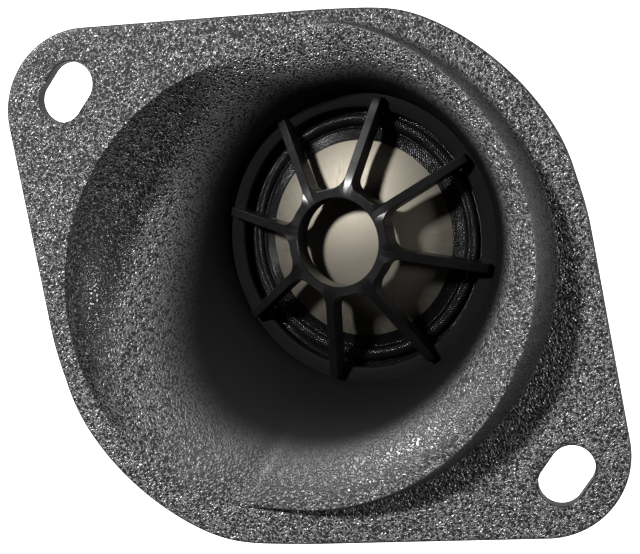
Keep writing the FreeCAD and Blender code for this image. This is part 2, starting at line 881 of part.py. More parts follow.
os.makedirs("parts", exist_ok=True)
for part in parts:
    part.Shape.exportStep("parts/%s.step" % part.Label)
    print(part.Label, len(part.Shape.Solids), round(part.Shape.Volume, 1))
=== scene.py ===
"""Car tweeter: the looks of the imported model.

Lengths are millimetres in the row frame (origin on the back of the flange, +Z out of its front)
and become metres when a mesh is made. The driver's own frame has its origin at the middle of the
dome's edge and leans the way the diaphragm travels."""

import json
import math

import bmesh
import bpy
import numpy as np
from mathutils import Matrix, Vector


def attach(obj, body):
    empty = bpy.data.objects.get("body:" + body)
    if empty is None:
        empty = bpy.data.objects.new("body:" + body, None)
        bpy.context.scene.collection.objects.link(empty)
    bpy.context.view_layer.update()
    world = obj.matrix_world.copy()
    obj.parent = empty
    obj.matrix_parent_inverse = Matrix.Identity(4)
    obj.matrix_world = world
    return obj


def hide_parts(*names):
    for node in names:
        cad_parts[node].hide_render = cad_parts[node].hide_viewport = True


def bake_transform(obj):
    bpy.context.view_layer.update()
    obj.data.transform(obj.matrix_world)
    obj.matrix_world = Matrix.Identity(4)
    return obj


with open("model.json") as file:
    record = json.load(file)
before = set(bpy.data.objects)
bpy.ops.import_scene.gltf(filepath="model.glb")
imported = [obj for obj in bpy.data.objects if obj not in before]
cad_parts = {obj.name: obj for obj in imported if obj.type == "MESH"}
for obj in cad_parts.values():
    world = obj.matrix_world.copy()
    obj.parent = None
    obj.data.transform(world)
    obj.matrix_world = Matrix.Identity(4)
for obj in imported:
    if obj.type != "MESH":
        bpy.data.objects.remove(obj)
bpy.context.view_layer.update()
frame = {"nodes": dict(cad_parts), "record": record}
MM = 0.001
TAU = 2 * math.pi
nodes = frame["nodes"]

# ---------------------------------------------------------------- sizes, as in the CAD
FRONT = 2.2
DISC, EAR = 35.56, 10.76
# the arcs stand a little out from the disc, and ease into the straight edges
ARC, CORNER = DISC + 0.3, 1.3
EDGE_EASE = 0.35
EDGE_ONE, EDGE_TWO = 35.33, 33.97
TURN_ONE, TURN_TWO = math.radians(42.2), math.radians(40.4)
SLOT_SPACING, SLOT_WIDE, SLOT_LONG, SLOT_TURN = 80.0, 5.75, 8.2, math.radians(3.4)
DRIVER_PLACE = np.array([1.22, 7.25, -4.8])
LEAN, LEAN_TOWARD = math.radians(17.1), math.radians(219.7)
RIM_SLOPE, RIM_ZERO = 0.165, 6.6
RIM_UPHILL = np.array([0.875, 0.485])
THROAT, THROAT_LEVEL = 18.8, 0.93
# middle and radius of the mouth where it lies flush and where its rim stands proud
FLUSH_MOUTH = ((-1.5, -2.4), 30.0)
PROUD_MOUTH = ((-3.5, -0.3), 31.0)
NECK, BORE, NECK_END = 21.3, 19.2, -11.6
SPIGOT_PLACE, SPIGOT, SPIGOT_DEEP = np.array([-2.6, -1.0]), 32.4, 2.6
BOSS_RADIUS, BOSS_CIRCLE, BOSS_FIRST, BOSS_TALL = 2.5, 22.6, 99.7, 4.6
BOSS_AROUND, SLOT_AROUND = 32, 64
DOME, DOME_RISE, DOME_THICK = 12.78, 3.9, 0.15
LEDGE_IN, LEDGE_OUT, LEDGE_THICK = 16.87, 19.1, 1.5
HUB_IN, HUB_OUT, HUB_FRONT, HUB_BACK = 5.61, 6.85, 7.47, 4.8
FIN_COUNT, FIN_FIRST, FIN_THICK, FIN_END, FIN_END_TOP = 8, 27.0, 1.2, 18.5, 2.1


# ---------------------------------------------------------------- camera and light
def make_camera():
    """Above the front of the flange, turned so that the slots lie corner to corner."""
    look = (
        Matrix.Rotation(0.097, 3, "X")
        @ Matrix.Rotation(-0.156, 3, "Y")
        @ Matrix.Rotation(-0.640, 3, "Z")
    )
    middle = Vector((-0.887, -0.563, -201.5))
    place = Vector((0, 0, FRONT)) - look.transposed() @ middle
    data = bpy.data.cameras.new("Camera")
    data.sensor_width = 36.0
    data.lens = 89.66
    data.clip_start = 0.005
    data.clip_end = 20.0
    made = bpy.data.objects.new("Camera", data)
    made.matrix_world = Matrix.Translation(place * MM) @ look.transposed().to_4x4()
    bpy.context.scene.collection.objects.link(made)
    bpy.context.scene.camera = made
    return made


camera = make_camera()


def lamp(name, right, up, out, wide, high, power):
    """A soft lamp facing the flange, placed by how far right, up and out the camera sees it."""
    place = camera.matrix_world.to_3x3() @ Vector((right, up, out)) * MM
    data = bpy.data.lights.new(name, "AREA")
    data.shape = "RECTANGLE"
    data.size = wide * MM
    data.size_y = high * MM
    data.energy = power
    made = bpy.data.objects.new(name, data)
    made.rotation_mode = "QUATERNION"
    made.rotation_quaternion = (-place).to_track_quat("-Z", "Y")
    made.location = place
    bpy.context.scene.collection.objects.link(made)


lamp("Key", -483, 258, 401, 80, 80, 10.0)
lamp("Right", 520, 13, 430, 110, 150, 2.8)

world = bpy.data.worlds.new("Studio")
bpy.context.scene.world = world
world.use_nodes = True
world.node_tree.nodes["Background"].inputs["Color"].default_value = (1, 1, 1, 1)
world.node_tree.nodes["Background"].inputs["Strength"].default_value = 0.01


# ---------------------------------------------------------------- geometry helpers
def turn_matrix(angle):
    """Turn about Z."""
    c, s = math.cos(angle), math.sin(angle)
    return np.array([[c, -s, 0], [s, c, 0], [0, 0, 1]])


def tip_matrix(angle):
    """Turn about Y."""
    c, s = math.cos(angle), math.sin(angle)
    return np.array([[c, 0, s], [0, 1, 0], [-s, 0, c]])


DRIVER_TURN = turn_matrix(LEAN_TOWARD) @ tip_matrix(LEAN) @ turn_matrix(-LEAN_TOWARD)


def driver(points):
    """Points of the driver's frame, in the row frame."""
    return DRIVER_PLACE + np.asarray(points, float) @ DRIVER_TURN.T


def driver_ring(radius, level, angles):
    """A circle about the driver axis."""
    flat = np.stack(
        [radius * np.cos(angles), radius * np.sin(angles), np.full(len(angles), level)], axis=1
    )
    return driver(flat)


def smooth(low, high, value):
    """0 below low, 1 above high, eased between."""
    t = np.clip((np.asarray(value, float) - low) / (high - low), 0, 1)
    return t * t * (3 - 2 * t)


def add_object(name, points, faces, body, crease=35.0):
    """A mesh piece in millimetres that rides on a body when one is given."""
    mesh = bpy.data.meshes.new(name)
    mesh.from_pydata([tuple(p * MM) for p in points], [], [tuple(int(i) for i in f) for f in faces])
    mesh.validate()
    mesh.polygons.foreach_set("use_smooth", [True] * len(mesh.polygons))
    mesh.set_sharp_from_angle(angle=math.radians(crease))
    made = bpy.data.objects.new(name, mesh)
    bpy.context.scene.collection.objects.link(made)
    if body:
        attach(made, body)
    return made


def grid_faces(rows, across):
    """Quads of a grid that closes round each row, and from the last row back to the first."""
    faces = []
    for r in range(rows):
        here = r * across
        there = ((r + 1) % rows) * across
        for k in range(across):
            n = (k + 1) % across
            faces.append((here + k, here + n, there + n, there + k))
    return faces


def add_attribute(mesh, name, values):
    """One number for each point of a mesh."""
    made = mesh.attributes.new(name, "FLOAT", "POINT")
    made.data.foreach_set("value", np.asarray(values, np.float32))


# ---------------------------------------------------------------- front baffle
ROUND = 720
THETA = np.linspace(0, TAU, ROUND, endpoint=False)
HEART = np.array([-2.6, -0.8])
WAY = np.stack([np.cos(THETA), np.sin(THETA)], axis=1)


def flange_reach(angles):
    """Distance from the middle of the flange to its outline."""
    d = np.stack([np.cos(angles), np.sin(angles)], axis=1)
    side = np.where(d[:, :1] >= 0, 1.0, -1.0)
    d = d * side
    one = np.array([math.sin(TURN_ONE), math.cos(TURN_ONE)])
    two = np.array([math.sin(TURN_TWO), -math.cos(TURN_TWO)])
    to_one = np.where(d @ one > 1e-6, EDGE_ONE / np.maximum(d @ one, 1e-6), 1e9)
    to_two = np.where(d @ two > 1e-6, EDGE_TWO / np.maximum(d @ two, 1e-6), 1e9)
    straight = np.minimum(to_one, to_two)
    ear = np.linalg.solve(np.array([one, two]), np.array([EDGE_ONE - EAR, EDGE_TWO - EAR]))
    turn = np.degrees(np.arctan2(d[:, 1], d[:, 0]))
    high = ear + one * EAR
    low = ear + two * EAR
    high = math.degrees(math.atan2(high[1], high[0]))
    low = math.degrees(math.atan2(low[1], low[0]))
    along = d @ ear
    bend = along + np.sqrt(np.maximum(along**2 - ear @ ear + EAR**2, 0))
    foot_high = 90 - math.degrees(TURN_ONE)
    foot_low = math.degrees(TURN_TWO) - 90
    beyond = np.maximum(turn - foot_high, foot_low - turn)
    eased = ARC - np.log1p(np.exp(-CORNER * (straight - ARC))) / CORNER
    reach = straight + smooth(0, 12, beyond) * (eased - straight)
    return np.where((turn < high) & (turn > low), bend, reach)


def outline_points():
    """The flange outline where each ray from the horn's heart meets it."""
    dense = np.linspace(0, TAU, 14400, endpoint=False)
    points = flange_reach(dense)[:, None] * np.stack([np.cos(dense), np.sin(dense)], axis=1)
    rel = points - HEART
    turn = np.mod(np.arctan2(rel[:, 1], rel[:, 0]), TAU)
    order = np.argsort(turn)
    reach = np.interp(THETA, turn[order], np.hypot(*rel.T)[order], period=TAU)
    return HEART + WAY * reach[:, None]


def ray_to_circle(centre, radius):
    """Where each ray from the horn's heart meets a circle."""
    gap = HEART - np.asarray(centre)
    along = WAY @ gap
    reach = -along + np.sqrt(along**2 - gap @ gap + radius**2)
    return HEART + WAY * reach[:, None]


def rim_height(plan):
    """How far the rim plane stands above the flange."""
    return RIM_SLOPE * (plan @ RIM_UPHILL + RIM_ZERO)


def level(plan, z):
    """Plan points at a height."""
    return np.column_stack([plan, np.broadcast_to(z, len(plan))])


def bezier(corners, t):
    """A cubic curve through four control values, each of which may vary round the horn."""
    a, b, c, d = corners
    u = 1 - t
    return u**3 * a + 3 * u * u * t * b + 3 * u * t * t * c + t**3 * d


def about(bearing, width):
    """1 for the rays at a bearing in degrees, easing to 0 a width away from it."""
    away = np.degrees(np.arccos(np.cos(THETA - math.radians(bearing))))
    return 1 - smooth(0, width, away)


def baffle_rows():
    """Rings of points from the throat over the horn, rim, collar and flange to the back."""
    flush = ray_to_circle(*FLUSH_MOUTH)
    proud = ray_to_circle(*PROUD_MOUTH)
    tall = rim_height(proud)
    mix = smooth(-1.6, 1.2, tall)[:, None]
    rim = flush * (1 - mix) + proud * mix
    tall = np.logaddexp(0, rim_height(rim) * 5) / 5
    tall = tall * smooth(0.0, 0.4, tall)
    lip = smooth(-4.6, 0.4, rim_height(rim))
    out = rim - HEART
    out = out / np.linalg.norm(out, axis=1)[:, None]
    rim_z = FRONT + tall
    walled = smooth(0.1, 0.7, tall)

    rows, grain_and_shade = [], []
    throat = driver_ring(THROAT, THROAT_LEVEL, THETA)
    # share of the way out where the grain starts, and how strong it is in the bowl; towards bearings 60,
    # 120 and 296 the grain and its lighter tone start further out, and near bearing 290 they are weaker:
    # partly a smoother finish near the throat, partly painted shade
    grain_start_and_shade = 0.24 + 0.14 * about(120, 60) + 0.40 * about(296, 95) + 0.16 * about(60, 80)
    bottom_calm_and_shade = 1 - 0.40 * about(290, 85)
    steps = 48
    for k in range(steps):
        t = k / (steps - 1)
        f = bezier((0, 0.10, 0.97 - 0.50 * lip, 1), t)
        g = bezier((0, 0.30 + 0.14 * lip, 0.30 + 0.68 * lip, 1), t)
        plan = throat[:, :2] + f[:, None] * (rim - throat[:, :2])
        rows.append(level(plan, throat[:, 2] + g * (rim_z - throat[:, 2])))
        grain_and_shade.append(bottom_calm_and_shade * smooth(grain_start_and_shade - 0.08, grain_start_and_shade + 0.36, np.full(ROUND, t)))
    # crisp rim edge, leaning wall, then a fillet or a small step at its foot
    lean = math.tan(LEAN) * -np.array([math.cos(LEAN_TOWARD), math.sin(LEAN_TOWARD)])
    facing = about(104, 58)
    down = np.minimum(0.42 * tall, 0.35 + 1.5 * facing)
    wide = down * (0.12 + 0.95 * facing)
    foot = tall - down
    for k, share in enumerate((0.0, 0.1, 0.35, 0.6, 0.85, 1.0)):
        drop = share * foot
        plan = rim + drop[:, None] * lean + out * (0.14 + 0.03 * k * walled + 0.10 * drop)[:, None]
        rows.append(level(plan, rim_z - drop - 0.10 * np.minimum(1, tall)))
        grain_and_shade.append(1 - 0.66 * walled)
    base = rim + foot[:, None] * lean + out * (0.30 + 0.10 * foot)[:, None]
    for k in range(1, 6):
        a = k / 5 * math.pi / 2
        plan = base + out * (wide * (1 - math.cos(a)) + 0.02 * k)[:, None]
        rows.append(level(plan, FRONT + down * (1 - math.sin(a))))
        grain_and_shade.append(1 - (0.66 - 0.08 * k) * walled)
    start = rows[-1][:, :2]
    end = outline_points()
    inward = HEART - end
    inward = inward / np.linalg.norm(inward, axis=1)[:, None]
    for share in np.linspace(0.04, 1.0, 16):
        rows.append(level(start + share * (end + EDGE_EASE * inward - start), FRONT))
        grain_and_shade.append(np.ones(ROUND))
    for a in (30, 60, 90):
        a = math.radians(a)
        plan = end + inward * EDGE_EASE * (1 - math.sin(a))
        rows.append(level(plan, FRONT - EDGE_EASE * (1 - math.cos(a))))
        grain_and_shade.append(np.full(ROUND, 0.3))
    for z in (0.2, 0.0):
        rows.append(level(end + inward * (0.2 if z == 0.0 else 0.0), z))
        grain_and_shade.append(np.full(ROUND, 0.15))
    # back of the flange, spigot, shell and neck
    gap = ray_to_circle(SPIGOT_PLACE, SPIGOT)
    for share in (0.5, 1.0):
        rows.append(level(end + 0.2 * inward + share * (gap - end - 0.2 * inward), 0.0))
        grain_and_shade.append(np.full(ROUND, 0.3))
    rows.append(level(gap, -SPIGOT_DEEP))
    grain_and_shade.append(np.full(ROUND, 0.3))
    neck = driver_ring(NECK, -1.6, THETA)
    for k in range(14):
        t = 1 - (k + 0.6) / 14
        f = bezier((0, 0.05, 0.95, 1), t)
        g = bezier((0, 0.45, 0.60, 1), t)
        plan = neck[:, :2] + f * (gap - neck[:, :2])
        low = np.minimum(neck[:, 2], -SPIGOT_DEEP - 0.5)
        rows.append(level(plan, low + g * (-SPIGOT_DEEP - low)))
        grain_and_shade.append(np.full(ROUND, 0.3))
    turned_rows = (
        (NECK, -4.5), (NECK, NECK_END + 0.3), (NECK - 0.3, NECK_END),
        (BORE, NECK_END), (BORE, THROAT_LEVEL - 0.01), (THROAT, THROAT_LEVEL - 0.01),
    )
    for radius, height in turned_rows:
        rows.append(driver_ring(radius, height, THETA))
        grain_and_shade.append(np.full(ROUND, 0.2))
    return rows, grain_and_shade


def stadium_cutter(name, x):
    """A cutter for one slot."""
    ring = []
    for k in range(SLOT_AROUND):
        a = TAU * k / SLOT_AROUND
        shift = (SLOT_LONG - SLOT_WIDE) / 2 * (1 if math.sin(a) >= 0 else -1)
        ring.append((SLOT_WIDE / 2 * math.cos(a), SLOT_WIDE / 2 * math.sin(a) + shift))
    ring = np.array(ring) @ turn_matrix(SLOT_TURN)[:2, :2].T + np.array([x, 0])
    points = np.vstack([level(ring, -2.0), level(ring, 5.0)])
    faces = [tuple(range(SLOT_AROUND - 1, -1, -1)), tuple(range(SLOT_AROUND, 2 * SLOT_AROUND))]
    for k in range(SLOT_AROUND):
        n = (k + 1) % SLOT_AROUND
        faces.append((k, n, SLOT_AROUND + n, SLOT_AROUND + k))
    mesh = bpy.data.meshes.new(name)
    mesh.from_pydata([tuple(p * MM) for p in points], [], faces)
    made = bpy.data.objects.new(name, mesh)
    bpy.context.scene.collection.objects.link(made)
    return made


def boss(turn):
    """Points and faces of one screw boss on the neck."""
    around = np.linspace(0, TAU, BOSS_AROUND, endpoint=False)
    rows = []
    tip = NECK_END + BOSS_TALL
    for radius, height in (
        (1.0, NECK_END),
        (BOSS_RADIUS, NECK_END),
        (BOSS_RADIUS, tip - 0.6),
        (BOSS_RADIUS - 0.2, tip - 0.2),
        (BOSS_RADIUS - 0.7, tip),
        (0.05, tip + 0.1),
    ):
        x = BOSS_CIRCLE + radius * np.cos(around)
        ring = np.stack([x, radius * np.sin(around), np.full(BOSS_AROUND, height)], axis=1)
        rows.append(driver(ring @ turn_matrix(math.radians(turn)).T))
    return np.vstack(rows), grid_faces(len(rows), BOSS_AROUND)


def make_baffle():
    """The moulded flange, collar and horn."""
    rows, grain_and_shade = baffle_rows()
    points = np.vstack(rows)
    faces = grid_faces(len(rows), ROUND)
    weights = np.concatenate(grain_and_shade)
    for k in range(3):
        more, quads = boss(BOSS_FIRST + 120 * k)
        faces += [tuple(i + len(points) for i in q) for q in quads]
        points = np.vstack([points, more])
        weights = np.concatenate([weights, np.full(len(more), 0.3)])
    made = add_object("baffle_moulding", points, faces, None, 40.0)
    bm = bmesh.new()
    bm.from_mesh(made.data)
    bmesh.ops.recalc_face_normals(bm, faces=bm.faces)
    bm.to_mesh(made.data)
    bm.free()
    # the weights set the grain's strength, and with it painted shade in parts of the bowl
    add_attribute(made.data, "grain_and_shade", weights)
    cutters = [
        stadium_cutter("cutter_left", -SLOT_SPACING / 2),
        stadium_cutter("cutter_right", SLOT_SPACING / 2),
    ]
    for cutter in cutters:
        step = made.modifiers.new(cutter.name, "BOOLEAN")
        step.operation = "DIFFERENCE"
        step.solver = "EXACT"
        step.object = cutter
    graph = bpy.context.evaluated_depsgraph_get()
    cut = bpy.data.meshes.new_from_object(made.evaluated_get(graph))
    made.modifiers.clear()
    made.data = cut
    for cutter in cutters:
        bpy.data.objects.remove(cutter)
    cut.polygons.foreach_set("use_smooth", [True] * len(cut.polygons))
    cut.set_sharp_from_angle(angle=math.radians(40))
    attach(made, "housing")
    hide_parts("front_baffle")
    return made


baffle = make_baffle()


# ---------------------------------------------------------------- turned pieces
def turned_piece(name, outline, body, around=256, crease=35.0):
    """A closed ring turned about the driver axis from (radius, level) corners, with UVs in millimetres."""
    angles = np.linspace(0, TAU, around, endpoint=False)
    points = np.vstack([driver_ring(r, z, angles) for r, z in outline])
    made = add_object(name, points, grid_faces(len(outline), around), body, crease)
    path = np.array(outline + outline[:1])
    run = np.concatenate([[0], np.cumsum(np.hypot(*np.diff(path, axis=0).T))])
    layer = made.data.uv_layers.new(name="UVMap")
    step = TAU / around
    for poly in made.data.polygons:
        corner = [made.data.loops[i].vertex_index for i in poly.loop_indices]
        ks = [v % around for v in corner]
        rs = [v // around for v in corner]
        wrap_k = 0 in ks and around - 1 in ks
        wrap_r = 0 in rs and len(outline) - 1 in rs
        for loop, k, r in zip(poly.loop_indices, ks, rs):
            u = (around if wrap_k and k == 0 else k) * step
            v = run[len(outline)] if wrap_r and r == 0 else run[r]
            layer.data[loop].uv = (u, v)
    return made


def arc(centre_r, centre_z, radius, start, end, count):
    """Corners along an arc in the driver's section, angles in degrees."""
    found = []
    for k in range(count):
        a = math.radians(start + (end - start) * k / (count - 1))
        found.append((centre_r + radius * math.cos(a), centre_z + radius * math.sin(a)))
    return found


def dome_outline():
    """Upper then lower skin of the dome."""
    ball = (DOME**2 + DOME_RISE**2) / (2 * DOME_RISE)
    low = DOME_RISE - ball
    edge = math.degrees(math.asin(-low / ball))
    outer = arc(0, low, ball, edge, 89.97, 36)
    inner = arc(0, low, ball - DOME_THICK, 89.97, edge + 0.3, 36)
    return outer + inner


dome = turned_piece("dome_shell", dome_outline(), "diaphragm", 256, 60)
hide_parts("dome_diaphragm")


def surround_outline():
    """Skirt, ridge, half roll and clamped rim: the top skin out, then the under skin back."""
    top = [(DOME - 0.05, 0.16), (DOME + 0.12, 0.10), (13.3, -0.08), (13.8, -0.26), (14.08, -0.36)]
    top += arc(14.3, -0.40, 0.2, 150, 20, 7)
    top += [(14.56, -0.50)]
    top += arc(15.3, -0.60, 0.80, 165, 5, 21)
    top += [(16.15, -0.57), (16.6, -0.57), (18.6, -0.57)]
    under = [(18.6, -0.80), (16.1, -0.80)]
    under += arc(15.3, -0.62, 0.62, 0, 180, 15)
    under += [(14.3, -0.66), (13.6, -0.42), (DOME + 0.02, -0.22)]
    return top + under


surround = turned_piece("surround_cloth", surround_outline(), None, 384, 50)


def flex_radially(piece):
    """Bakes the piece's placement into its points."""
    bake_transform(piece)


flex_radially(surround)
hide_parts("surround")

ledge = turned_piece(
    "grille_ledge",
    [
        (LEDGE_IN, THROAT_LEVEL - LEDGE_THICK),
        (LEDGE_OUT, THROAT_LEVEL - LEDGE_THICK),
        (LEDGE_OUT, THROAT_LEVEL),
        (LEDGE_IN + 0.5, THROAT_LEVEL),
        (LEDGE_IN + 0.15, THROAT_LEVEL - 0.06),
        (LEDGE_IN, THROAT_LEVEL - 0.22),
    ],
    "housing",
    384,
)


# ---------------------------------------------------------------- grille hub and fins
FILLET, EDGE_ROUND = 1.9, 0.12


def fin_top(radius):
    """Level of the grille's front over its radius."""
    share = np.clip((radius - 7.05) / (FIN_END - 7.05), 0, 1)
    return HUB_FRONT + (FIN_END_TOP - HUB_FRONT) * share


def fin_bottom(radius):
    """Level of the grille's back over its radius."""
    share = np.clip((radius - 7.65) / (LEDGE_IN - 7.75), 0, 1)
    return HUB_BACK + (THROAT_LEVEL - 0.3 - HUB_BACK) * share


def root_outline(grow):
    """One eighth of the hub's outline in plan: web, fillet, fin root, fillet, web."""
    half = FIN_THICK / 2
    centre = np.array([math.sqrt((HUB_OUT + FILLET) ** 2 - (half + FILLET) ** 2), half + FILLET])
    meet = math.atan2(centre[1], centre[0])
    upper = [np.array([centre[0], half + grow])]
    for a in np.linspace(-math.pi / 2, meet - math.pi, 10)[1:]:
        upper.append(centre + (FILLET - grow) * np.array([math.cos(a), math.sin(a)]))
    for a in np.linspace(meet, math.pi / FIN_COUNT, 6)[1:-1]:
        upper.append((HUB_OUT + grow) * np.array([math.cos(a), math.sin(a)]))
    web = (HUB_OUT + grow) * np.array([math.cos(math.pi / FIN_COUNT), -math.sin(math.pi / FIN_COUNT)])
    lower = [p * np.array([1, -1]) for p in upper[::-1]]
    return np.array([web] + lower + [np.array([centre[0], 0])] + upper)


def lift(plan, height, drop=0.0):
    """Plan points at the grille's front or back, less a drop."""
    return np.column_stack([plan, height(np.hypot(*plan.T)) - drop])


def at_radius(plan, radius):
    """The same bearings, no further out than a radius."""
    reach = np.hypot(*plan.T)
    return plan * (np.minimum(reach, radius) / reach)[:, None]


def hub_sheets():
    """Points of the hub's hole, front, edge and back, ring by ring, for one eighth of it."""
    inset, middle, outer = root_outline(-EDGE_ROUND), root_outline(-0.3 * EDGE_ROUND), root_outline(0)
    hole = at_radius(inset, 1.0)
    front = [
        lift(hole * HUB_IN, lambda r: 0 * r + HUB_BACK),
        lift(hole * HUB_IN, lambda r: 0 * r + HUB_FRONT - EDGE_ROUND),
        lift(hole * (HUB_IN + 0.06), lambda r: 0 * r + HUB_FRONT - 0.06),
        lift(hole * (HUB_IN + EDGE_ROUND), fin_top),
        lift(at_radius(inset, 6.55), fin_top),
        lift(inset, fin_top),
    ]
    side = [
        lift(inset, fin_top),
        lift(middle, fin_top, 0.3 * EDGE_ROUND),
        lift(outer, fin_top, EDGE_ROUND),
        lift(outer, fin_bottom),
    ]
    back = [lift(outer, fin_bottom), lift(at_radius(outer, 6.7), fin_bottom), front[0]]
    return front, side, back


def fin_section(x, shrink=0.0):
    """One cross-section of a fin, standing at a distance from the axis."""
    half = FIN_THICK / 2 - shrink
    e = EDGE_ROUND
    plan = np.array([
        (x, -half), (x, -half), (x, -half + 0.3 * e), (x, -half + e), (x, 0),
        (x, half - e), (x, half - 0.3 * e), (x, half), (x, half), (x, 0),
    ])
    reach = np.hypot(*plan.T)
    top, low = fin_top(reach) - shrink, fin_bottom(reach)
    drop = np.array([0, e, 0.3 * e, 0, 0, 0, 0.3 * e, e, 0, 0])
    level_of = np.where(np.isin(np.arange(10), (0, 8, 9)), low, top - drop)
    return np.column_stack([plan, level_of])


def make_grille():
    """Hub and fins with filleted roots and rounded edges."""
    bm = bmesh.new()

    def sheet(rows, turn, skip=()):
        """Quads between rows of points, turned about the axis."""
        rows = [[bm.verts.new(p) for p in row @ turn_matrix(turn).T] for row in rows]
        for a, b in zip(rows[:-1], rows[1:]):
            for k in range(len(a) - 1):
                if k not in skip:
                    bm.faces.new((a[k], a[k + 1], b[k + 1], b[k]))

    front, side, back = hub_sheets()
    root = len(front[0]) // 2
    for k in range(FIN_COUNT):
        turn = math.radians(FIN_FIRST + 360 / FIN_COUNT * k)
        for rows, skip in ((front, ()), (side, (root - 1, root)), (back, ())):
            closed = [np.vstack([row, row[:1] @ turn_matrix(TAU / FIN_COUNT).T]) for row in rows]
            sheet(closed, turn, skip)
        start = root_outline(0)[root + 1][0]
        stations = [fin_section(x) for x in np.linspace(start, FIN_END - 0.2, 14)]
        stations += [fin_section(FIN_END - 0.06, 0.06), fin_section(FIN_END, 0.2)]
        closed = [np.vstack([row, row[:1]]) for row in stations]
        sheet(closed, turn)
        bm.faces.new([bm.verts.new(p) for p in stations[-1] @ turn_matrix(turn).T])
    bmesh.ops.remove_doubles(bm, verts=bm.verts, dist=0.002)
    bmesh.ops.delete(bm, geom=[v for v in bm.verts if not v.link_faces], context="VERTS")
    bmesh.ops.recalc_face_normals(bm, faces=bm.faces)
    bm.verts.index_update()
    points = driver([v.co for v in bm.verts])
    faces = [[v.index for v in f.verts] for f in bm.faces]
    bm.free()
    return add_object("grille_hub_and_fins", points, faces, "housing", 20.0)


grille = make_grille()
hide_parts("phase_grille")


# ---------------------------------------------------------------- materials
class Paint:
    """Builds a node material one step at a time."""

    def __init__(self, name, colour, rough, metal=0.0):
        self.made = bpy.data.materials.new(name)
        self.made.use_nodes = True
        self.tree = self.made.node_tree
        self.shader = self.tree.nodes["Principled BSDF"]
        self.shader.inputs["Base Color"].default_value = (*colour, 1)
        self.shader.inputs["Roughness"].default_value = rough
        self.shader.inputs["Metallic"].default_value = metal

    def node(self, kind, **values):
        """A node with some of its inputs or properties set."""
        made = self.tree.nodes.new(kind)
        for key, value in values.items():
            if key in made.inputs:
                made.inputs[key].default_value = value
            else:
                setattr(made, key, value)
        return made

    def link(self, out, into):
        """Joins two sockets."""
        self.tree.links.new(out, into)

    def place(self, stretch=(1, 1, 1)):
        """Object coordinates in millimetres."""
        where = self.node("ShaderNodeTexCoord")
        scale = self.node("ShaderNodeMapping")
        scale.inputs["Scale"].default_value = [1000 * s for s in stretch]
        self.link(where.outputs["Object"], scale.inputs["Vector"])
        return scale.outputs["Vector"]

    def noise(self, size, detail, stretch=(1, 1, 1)):
        """Noise whose features are about this many millimetres."""
        made = self.node("ShaderNodeTexNoise", Scale=1.0 / size, Detail=detail)
        self.link(self.place(stretch), made.inputs["Vector"])
        return made.outputs["Fac"]

    def math(self, operation, a, b=None):
        """A math node."""
        made = self.node("ShaderNodeMath")
        made.operation = operation
        for socket, value in zip(made.inputs, (a, b)):
            if value is None:
                continue
            if isinstance(value, (int, float)):
                socket.default_value = value
            else:
                self.link(value, socket)
        return made.outputs[0]

    def range(self, value, low, high, to_low, to_high):
        """A value moved from one range to another."""
        made = self.node("ShaderNodeMapRange")
        self.link(value, made.inputs["Value"])
        made.inputs["From Min"].default_value = low
        made.inputs["From Max"].default_value = high
        made.inputs["To Min"].default_value = to_low
        made.inputs["To Max"].default_value = to_high
        return made.outputs["Result"]

    def bump(self, height, depth):
        """Bumps this many millimetres deep."""
        made = self.node("ShaderNodeBump", Strength=1.0, Distance=depth * MM)
        self.link(height, made.inputs["Height"])
        self.link(made.outputs["Normal"], self.shader.inputs["Normal"])

    def vary_colour(self, value, dark, light):
        """Base colour between two tones."""
        ramp = self.node("ShaderNodeValToRGB")
        ramp.color_ramp.elements[0].color = (*dark, 1)
        ramp.color_ramp.elements[1].color = (*light, 1)
        self.link(value, ramp.inputs["Fac"])
        self.link(ramp.outputs["Color"], self.shader.inputs["Base Color"])

    def vary_rough(self, value, low, high):
        """Roughness between two values."""
        self.link(self.range(value, 0.3, 0.7, low, high), self.shader.inputs["Roughness"])

    def dress(self, *objects):
        """Puts the material on objects, alone."""
        for one in objects:
            one.data.materials.clear()
            one.data.materials.append(self.made)


def grained_plastic():
    """Moulded plastic with a fine leather grain, weaker where the mesh says so; its base colour is lighter
    on the wrinkles and darker in the creases, which is painted glints and painted shade.
    """
    paint = Paint("grained_plastic", (0.014, 0.014, 0.0145), 0.34)
    where = paint.place()
    wrinkle = paint.node("ShaderNodeTexNoise", Scale=1.0 / 0.42, Detail=0.6, Distortion=0.3)
    paint.link(where, wrinkle.inputs["Vector"])
    valley = paint.math("ABSOLUTE", paint.math("SUBTRACT", wrinkle.outputs["Fac"], 0.5))
    height = paint.range(valley, 0.0, 0.16, 1.0, 0.0)
    grain_and_shade = paint.node("ShaderNodeAttribute", attribute_name="grain_and_shade").outputs["Fac"]
    paint.bump(paint.math("MULTIPLY", height, grain_and_shade), 0.12)
    # base colour lighter on the wrinkles and darker in the creases, and the grained zone much lighter than
    # black plastic: painted glints and painted shade
    painted_shade_tone = paint.range(height, 0.10, 0.90, 0.12, 1.0)
    paint.vary_colour(paint.math("MULTIPLY", painted_shade_tone, grain_and_shade), (0.003, 0.003, 0.0031), (0.115, 0.115, 0.117))
    paint.link(paint.range(grain_and_shade, 0.0, 1.0, 0.04, 0.90), paint.shader.inputs["Specular IOR Level"])
    paint.link(paint.range(grain_and_shade, 0.0, 1.0, 0.52, 0.28), paint.shader.inputs["Roughness"])
    return paint


def satin_plastic(name, colour, low, high, shine=0.5):
    """Smooth moulded plastic with faint flow marks."""
    paint = Paint(name, colour, low)
    paint.shader.inputs["Specular IOR Level"].default_value = shine
    paint.vary_rough(paint.noise(2.5, 4.0), low, high)
    paint.bump(paint.noise(0.35, 3.0), 0.006)
    return paint


